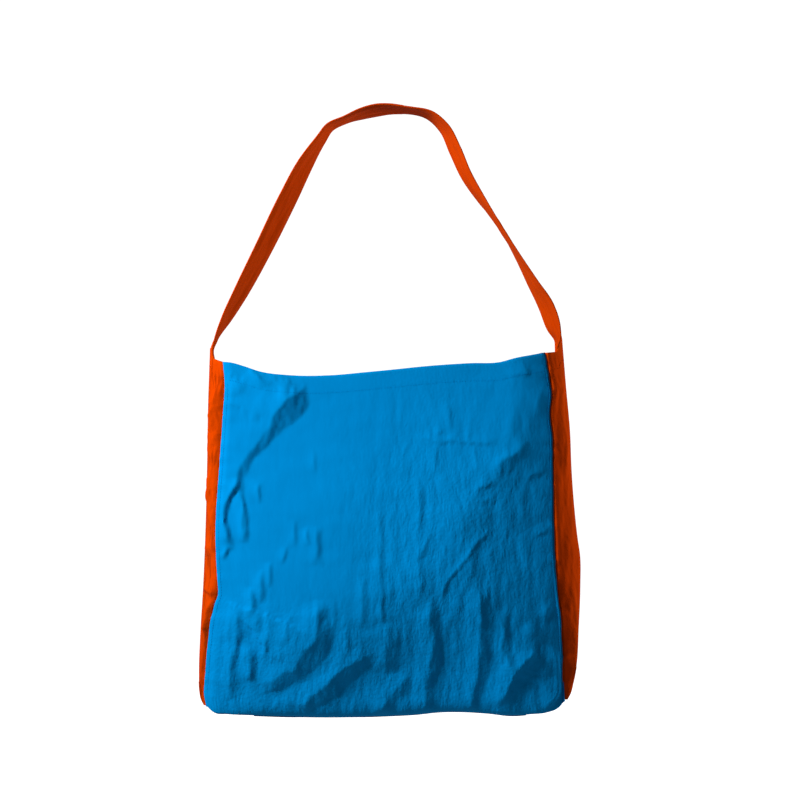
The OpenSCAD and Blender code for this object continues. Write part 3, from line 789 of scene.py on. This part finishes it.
class Nodes:
    """The shader nodes of a material or a world, with short names for adding and joining them."""

    def __init__(self, owner):
        owner.use_nodes = True
        self.owner = owner
        self.tree = owner.node_tree

    def join(self, node, inputs):
        """Give each input its value, or join it to another node's output."""
        for key, value in inputs.items():
            if isinstance(value, bpy.types.NodeSocket):
                self.tree.links.new(value, node.inputs[key])
            else:
                node.inputs[key].default_value = value

    def add(self, kind, inputs=None, **settings):
        node = self.tree.nodes.new("ShaderNode" + kind)
        for key, value in settings.items():
            setattr(node, key, value)
        self.join(node, inputs or {})
        return node.outputs[0]

    def math(self, operation, a, b=0.0, c=0.0, **settings):
        return self.add("Math", {0: a, 1: b, 2: c}, operation=operation, **settings)

    def stretched(self, across, up):
        """The cloth's own coordinates, with one unit every so many metres across and up it."""
        uv = self.add("UVMap", uv_map="cloth")
        return self.add("Mapping", {"Vector": uv, "Scale": (1 / across, 1 / up, 1)})

    def noise(self, across, up, detail):
        where = self.stretched(across, up)
        return self.add("TexNoise", {"Vector": where, "Scale": 1.0, "Detail": detail})

    def attribute(self, name):
        """A number that the mesh carries at each of its points."""
        return self.add("Attribute", attribute_name=name).node.outputs["Fac"]

    def apart(self, vector):
        """The three parts of a vector."""
        return self.add("SeparateXYZ", {0: vector}).node.outputs

    def wave(self, value, pitch):
        return self.math("SINE", self.math("MULTIPLY", value, 2 * math.pi / pitch))

    def bump(self, height, strength, distance, **under):
        inputs = {"Height": height, "Strength": strength, "Distance": distance, **under}
        return self.add("Bump", inputs)

    def mixed(self, share, a, b):
        """A colour between a and b."""
        a, b = (c if isinstance(c, bpy.types.NodeSocket) else (*c, 1) for c in (a, b))
        return self.add("Mix", {0: share, 6: a, 7: b}, data_type="RGBA").node.outputs[2]

    def shade(self, inputs):
        """Finish a material with the inputs of its own shader."""
        self.join(self.tree.nodes["Principled BSDF"], inputs)
        return self.owner


THREAD_PITCH = 0.0007  # metres between the cloth's threads
TWIST_PITCH = 0.0004  # and between the turns of a sewing thread


def weave(nodes):
    """A plain weave: threads that pass over and under each other, from 0 to 1."""
    flat = nodes.apart(nodes.add("UVMap", uv_map="cloth"))
    across, up = nodes.wave(flat[0], THREAD_PITCH), nodes.wave(flat[1], THREAD_PITCH)
    return nodes.math("MULTIPLY_ADD", nodes.math("MULTIPLY", across, up), 0.5, 0.5)


def dye_and_painted_light(nodes, streaks, colour, deep, pale_tone, lined):
    """Uneven dye in patches and streaks. Dark lines along the long creases are painted shade, and the paler
    edges are partly worn cloth and partly a painted highlight.
    """
    patches = nodes.noise(0.05, 0.07, 2.0)
    grain = nodes.noise(0.0012, 0.0012, 2.0)
    dye = nodes.math("MULTIPLY_ADD", patches, 0.5, nodes.math("MULTIPLY", streaks, 0.35))
    tone = nodes.mixed(nodes.math("MULTIPLY_ADD", dye, 1.6, -0.4), colour, deep)
    # Painted shade: dark lines along the long creases, darker where the cloth is more crinkled.
    lines = nodes.math("MULTIPLY_ADD", nodes.noise(0.0036, 0.028, 2.0), 7.0, -3.7, use_clamp=True)
    lines = nodes.math("MULTIPLY", lines, nodes.math("MULTIPLY", nodes.attribute("crinkle"), lined))
    tone = nodes.mixed(lines, tone, tuple(0.45 * part for part in deep))
    # The edges are painted paler: partly worn cloth, partly a painted highlight along them.
    rubbed_and_lit = nodes.math("MULTIPLY", nodes.attribute("wear_and_highlight"), nodes.math("MULTIPLY", grain, 0.4))
    return nodes.mixed(rubbed_and_lit, tone, pale_tone)


def cloth_relief(nodes, creased):
    """Fine creases where the cloth is crumpled, then the weave on top of them."""
    where = nodes.stretched(0.0045, 0.013)
    cells = nodes.add("TexVoronoi", {"Vector": where, "Scale": 1.0}, feature="DISTANCE_TO_EDGE")
    relief = nodes.math("ADD", nodes.noise(0.0028, 0.0034, 2.5), nodes.math("MINIMUM", cells, 0.4))
    relief = nodes.math("MULTIPLY", relief, nodes.attribute("crinkle"))
    normal = nodes.bump(relief, 0.9 * creased, 0.0006)
    return nodes.bump(weave(nodes), 0.25, 0.00012, Normal=normal)


def cloth_material(name, colour, deep, pale_tone, creased=1.0, lined=0.0):
    """Thin worn cloth with next to no shine. creased is the depth of its small creases, and lined is
    how dark the shade painted along its long creases is."""
    nodes = Nodes(bpy.data.materials.new(name))
    streaks = nodes.noise(0.003, 0.03, 3.0)
    return nodes.shade({
        "Base Color": dye_and_painted_light(nodes, streaks, colour, deep, pale_tone, lined),
        "Roughness": nodes.math("MULTIPLY_ADD", streaks, 0.2, 0.5),
        "Specular IOR Level": 0.035, "Specular Tint": (*pale_tone, 1), "Normal": cloth_relief(nodes, creased),
    })


def thread_material(name, colour, deep):
    """Twisted sewing thread."""
    nodes = Nodes(bpy.data.materials.new(name))
    flat = nodes.apart(nodes.add("UVMap", uv_map="cloth"))
    slant = nodes.math("MULTIPLY_ADD", flat[1], 1.5, flat[0])
    twist = nodes.math("MULTIPLY_ADD", nodes.wave(slant, TWIST_PITCH), 0.5, 0.5)
    return nodes.shade({
        "Base Color": nodes.mixed(twist, deep, colour), "Specular IOR Level": 0.05,
        "Roughness": nodes.math("MULTIPLY_ADD", twist, 0.2, 0.45), "Normal": nodes.bump(twist, 0.5, 0.0001),
    })


# The deep colours tint random patches of dye, and darkened further they paint shade along creases. The pale
# colours are painted along the edges, partly as worn cloth and partly as a painted highlight.
BLUE, DEEP_BLUE, PALE_BLUE = (0.0, 0.235, 0.60), (0.0, 0.20, 0.52), (0.0, 0.28, 0.66)
ORANGE, DEEP_ORANGE, PALE_ORANGE = (0.60, 0.050, 0.0), (0.42, 0.030, 0.0), (0.80, 0.085, 0.0)
TAPE_BLUE, DEEP_TAPE_BLUE, PALE_TAPE_BLUE = (0.0, 0.13, 0.36), (0.0, 0.10, 0.30), (0.01, 0.20, 0.50)
BLUE_THREAD, DEEP_BLUE_THREAD = (0.0, 0.23, 0.58), (0.0, 0.19, 0.49)
ORANGE_THREAD, DEEP_ORANGE_THREAD = (0.55, 0.05, 0.0), (0.34, 0.025, 0.0)
MATERIALS = {
    "panel_cloth": cloth_material("panel_cloth", BLUE, DEEP_BLUE, PALE_BLUE),
    # The orange strips alone get shade painted along their creases.
    "strip_cloth": cloth_material(
        "strip_cloth", ORANGE, DEEP_ORANGE, PALE_ORANGE, creased=0.7, lined=0.55
    ),
    "panel_thread": thread_material("panel_thread", BLUE_THREAD, DEEP_BLUE_THREAD),
    "strip_thread": thread_material("strip_thread", ORANGE_THREAD, DEEP_ORANGE_THREAD),
    "binding_tape": cloth_material(
        "binding_tape", TAPE_BLUE, DEEP_TAPE_BLUE, PALE_TAPE_BLUE, creased=0.4
    ),
}


# ---- pieces of the two panels ----

PANEL_U = even(-1, 1, 204, edge=(0.004, 0.009, 0.015))
PANEL_V = even(0, 1, 208, edge=(0.002, 0.0045, 0.0075))
PANEL_SIZE = (0.376, 0.374)
# A panel's cut also has its seam allowances and its turned hem.
FACING_IN = 1.0  # a hem facing lies this far inside the cloth's face
TAPE_IN = 1.5  # and a seam binding this far
SEAM_STITCH_U = 0.978
TAPE_U = (0.93, 0.972)


def inside_of(surface, depth):
    return lambda a, b: surface(a, b) - normals_of(surface, a, b) * depth


def panel_v_at(depth):
    """v at a depth below the mouth, in millimetres."""
    return 1 - depth / (BAG_H - SIDES["left"]["foot"])


def build_side_seam(which, name, u, surface):
    """The stitches of one side seam, and the tape over its seam allowances inside."""
    row = row_on(surface, u * SEAM_STITCH_U, np.linspace(0.05, 0.94, 240))
    seam = f"{which}_{name}_seam"
    stitch_piece(seam + "_thread", seam + "_stitches", "panel_thread", [row], which)
    columns = np.linspace(*sorted(u * edge for edge in TAPE_U), 9)
    cloth_piece(
        seam + "_tape", seam + "_binding", "binding_tape", inside_of(surface, TAPE_IN), columns,
        np.linspace(0.12, 0.93, 150), (0.008, 0.3), which, edges=(0.001, 0),
    )


def build_panel(which):
    back = which == "back"
    flip = -1 if back else 1

    def surface(a, b):
        return panel_surface(flip * a, b, back)

    def crinkle(points):
        return panel_wear(points[..., 0], points[..., 2] - BOTTOM_Z, back)

    panel = cloth_piece(
        f"{which}_panel_cloth", f"{which}_panel", "panel_cloth", surface, PANEL_U, PANEL_V, PANEL_SIZE,
        edges=(0.006, 0.008), crinkle=crinkle,
    )
    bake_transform(panel)
    facing_rows = panel_v_at(np.append(np.linspace(HEM_H, 2, 12), [1.2, 0.7]))
    facing = cloth_piece(
        f"{which}_facing_cloth", f"{which}_hem_facing", "panel_cloth", inside_of(surface, FACING_IN),
        np.linspace(-0.975, 0.975, 190), facing_rows, (0.34, HEM_H * MM), which, edges=(0, 0.003),
    )
    row = row_on(surface, np.linspace(-0.97, 0.97, 300), panel_v_at(HEM_H - HEM_STITCH_IN))
    hem = f"{which}_hem"
    stitch_piece(hem + "_thread", hem + "_stitches", "panel_thread", [row], which, thick=0.36)
    build_side_seam(which, "left", -flip, surface)
    build_side_seam(which, "right", flip, surface)


# ---- pieces of the two gussets, each in a front and a back half that meet their own panel ----

CREASE_LAP = 0.05  # the halves lap this far past the fold
GUSSET_SIZE = (0.034, 0.375)
# The cut of one half of a gusset, with its seam allowance and its share of the fold
HALVES = {"front": -1, "back": 1}
HALF_LIFT = {"front": 0.0, "back": 0.15}  # one half lies outside the other where they lap
HEM_SPAN = 0.84  # the gusset's hem facing reaches this far towards its seams, as a share of t
HEM_ROW_SPAN = 0.86  # and the stitches of its hem this far


def follow_panel(piece):
    """Bake the piece's placement into its mesh."""
    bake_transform(piece)


def build_gusset(which):
    side = SIDES[which]
    flip = side["sign"]  # the columns run so that the cloth's outer face is outward
    for half, y in HALVES.items():
        span = np.array([-1 - TUCK, CREASE_LAP]) if y < 0 else np.array([-CREASE_LAP, 1 + TUCK])

        def surface(a, b):
            return gusset_surface(side, a * flip, b) + np.array([flip * HALF_LIFT[half], 0, 0])

        gusset = cloth_piece(
            f"{which}_gusset_cloth_{half}", f"{which}_gusset", "strip_cloth", surface,
            np.sort(np.linspace(*span, 30) * flip), np.linspace(0.004, 1, 230), GUSSET_SIZE,
            edges=(0.003, 0.006), crinkle=side["crinkle"],
        )
        hem_columns = np.sort(np.linspace(*np.clip(span, -HEM_SPAN, HEM_SPAN), 22) * flip)
        hem_rows = np.linspace(1 - HEM_H / BAG_H, 0.998, 12)
        facing = cloth_piece(
            f"{which}_gusset_facing_{half}", f"{which}_gusset_hem", "strip_cloth",
            inside_of(surface, FACING_IN), hem_columns, hem_rows, (0.024, HEM_H * MM), edges=(0, 0.003),
        )
        row_span = np.linspace(*np.clip(span, -HEM_ROW_SPAN, HEM_ROW_SPAN), 40) * flip
        row = row_on(surface, row_span, 1 - (HEM_H - HEM_STITCH_IN) / BAG_H)
        hem_row = stitch_piece(
            f"{which}_gusset_hem_thread_{half}", f"{which}_gusset_hem_stitches", "strip_thread", [row]
        )
        for piece in (gusset, facing, hem_row):
            follow_panel(piece)


def build_bottom_binding():
    """Tape round the seam allowances of the bottom seam, standing up inside the bag."""
    low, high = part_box("bottom_seam_binding")

    def surface(a, b):
        turn = np.clip(b, -1, 1)
        x = lerp(low.x, high.x, a) / MM
        lean = 0.5 * noise(x / 22, x * 0, 90)
        y = turn * 0.55 + lean * (1 - np.abs(turn))
        z = high.z / MM + (lean - np.abs(turn) * 9) + bottom_edge(x) - 3
        return np.stack([x, y, z], -1)

    across, up = np.linspace(0, 1, 160), np.linspace(-1, 1, 13)
    cloth_piece(
        "bottom_seam_tape", "bottom_seam_binding", "binding_tape", surface, across, up, (0.29, 0.02),
        "sides",
    )


# ---- pieces of the strap ----

TACKS_BELOW = (22, 11)  # from that axis down to the two bar tacks
EDGE_STITCH_Q = (0.08, 0.92)  # where across a strap its edge stitches run
JOIN_IN = 3  # from the ends of the lap at the top to its rows of stitches


def bend_at_swing(piece):
    """Bake the piece's placement into its mesh."""
    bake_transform(piece)


def strap_face(strap, layer):
    """One face of a strap as a surface over (0..1, 0..1) whose normals point away from the cloth."""
    return lambda a, b: strap_surface(strap, a if strap["sign"] * layer > 0 else 1 - a, b, layer)


def strap_share(strap, column, where, part):
    """How far along a strap its line has a given x (column 0) or z (column 1), looked for in one part."""
    line, share = strap["line"][part, column], np.linspace(0, 1, ROUTE_STEPS)[part]
    order = np.argsort(line)
    return np.interp(where, line[order], share[order])


def build_strap(which):
    strap = STRAPS[which]

    def folded(a, b):
        return strap_fold(strap, a if strap["sign"] > 0 else 1 - a, b)

    columns = np.concatenate([
        np.linspace(0, 0.484, 20), np.linspace(0.489, 0.511, 9), np.linspace(0.516, 1, 20),
    ])
    flat_size = (2 * STRAP_W * MM, strap["length"] * MM)
    piece = cloth_piece(
        f"{which}_strap_cloth", f"{which}_strap", "strip_cloth", folded, columns, np.linspace(0, 1, 400),
        flat_size, edges=(0.002, 0.002), crinkle=STRAP_CRINKLE,
    )
    along = np.linspace(0.09, 0.93, 420)
    rows = [row_on(strap_face(strap, layer), q, along) for layer in (-1, 1) for q in EDGE_STITCH_Q]
    edge = f"{which}_strap_edge"
    edge_rows = stitch_piece(edge + "_thread", edge + "_stitches", "strip_thread", rows)
    rows = []
    for below in TACKS_BELOW:
        share = strap_share(strap, 1, SWING_Z - below, slice(0, 200))
        rows.append(row_on(strap_face(strap, 1), np.linspace(0.16, 0.84, 40), share))
    tacks = stitch_piece(
        f"{which}_strap_tack_thread", f"{which}_strap_tacks", "strip_thread", rows,
        length=3.4, pitch=0.75, slant=1.2,
    )
    for part in (piece, edge_rows, tacks):
        bend_at_swing(part)


def build_shoulder_join():
    """Rows of stitches through both straps where they lap over each other."""
    rows = []
    for x in (JOIN_IN - APEX_HALF, APEX_HALF - JOIN_IN):
        for which, layer in (("right", 1), ("left", -1)):
            share = strap_share(STRAPS[which], 0, x, slice(-200, None))
            rows.append(row_on(strap_face(STRAPS[which], layer), np.linspace(0.06, 0.94, 60), share))
    stitch_piece("shoulder_join_thread", "shoulder_join_stitches", "strip_thread", rows, "strap")


# ---- studio ----

VIEW_WIDTH = 0.84  # metres of the bag's middle plane across the picture
VIEW_FROM = 4.0  # and from there to the camera
VIEW_MIDDLE = (0.0105, -0.302)  # x and z that the camera looks at
SENSOR = 36
FLOOR_BELOW = 0.07
FLOOR_HALF = 3.0
WHITE = (1, 1, 1, 1)


def build_camera():
    """Straight in front of the bag and far off, as the view is nearly without perspective."""
    camera = add_object("camera", bpy.data.cameras.new("camera"))
    camera.location = (VIEW_MIDDLE[0], -VIEW_FROM, VIEW_MIDDLE[1])
    camera.rotation_euler = (math.radians(90), 0, 0)
    camera.data.sensor_width = SENSOR
    camera.data.lens = SENSOR * VIEW_FROM / VIEW_WIDTH
    camera.data.clip_end = 50
    bpy.context.scene.camera = camera


def add_light(name, direction, distance, size, power, target=(0, 0, -0.42)):
    light = add_object(name, bpy.data.lights.new(name, "AREA"))
    light.data.shape = "SQUARE"
    light.data.size = size
    light.data.energy = power
    aim = Vector(direction).normalized()
    light.location = Vector(target) + aim * distance
    light.rotation_euler = aim.to_track_quat("Z", "Y").to_euler()
    light.visible_glossy = False


def build_world():
    """White all round the camera's view. As a light it is dim, so that folds keep their shade, and
    brighter from below, as light comes back from a pale floor."""
    world = bpy.data.worlds.new("studio")
    nodes = Nodes(world)
    nodes.tree.nodes.clear()
    up = nodes.apart(nodes.add("TexCoord"))["Z"]
    glow = nodes.math("MULTIPLY_ADD", nodes.math("MINIMUM", up, 0.0), -0.36, 0.08)
    dim = nodes.add("Background", {"Color": WHITE, "Strength": glow})
    white = nodes.add("Background", {"Color": WHITE, "Strength": 1.1})
    camera_ray = nodes.add("LightPath")
    mix = nodes.add("MixShader", {0: camera_ray, 1: dim, 2: white})
    nodes.join(nodes.tree.nodes.new("ShaderNodeOutputWorld"), {0: mix})
    bpy.context.scene.world = world


def build_floor():
    """A plain pale floor below the hanging bag."""
    mesh = bpy.data.meshes.new("floor")
    corners = [(-1, -1), (1, -1), (1, 1), (-1, 1)]
    points = [(x * FLOOR_HALF, y * FLOOR_HALF, cad_low.z - FLOOR_BELOW) for x, y in corners]
    mesh.from_pydata(points, [], [(0, 1, 2, 3)])
    floor = add_object("floor", mesh)
    mesh.materials.append(Nodes(bpy.data.materials.new("floor")).shade({
        "Base Color": (0.9, 0.9, 0.9, 1), "Roughness": 0.9,
        "Emission Color": WHITE, "Emission Strength": 0.95,
    }))
    floor.visible_diffuse = False
    floor.visible_glossy = False
    floor.visible_shadow = False


build_camera()
for which in ("front", "back"):
    build_panel(which)
for which in ("left", "right"):
    build_gusset(which)
    build_strap(which)
build_bottom_binding()
build_shoulder_join()
build_world()
build_floor()
add_light("key", (-0.73, -0.48, 0.48), 1.8, 0.45, 45.5)
add_light("side", (0.93, 0.36, 0.02), 2.0, 0.6, 31)
bpy.context.scene.view_settings.view_transform = "Standard"
bpy.context.scene.view_settings.look = "None"
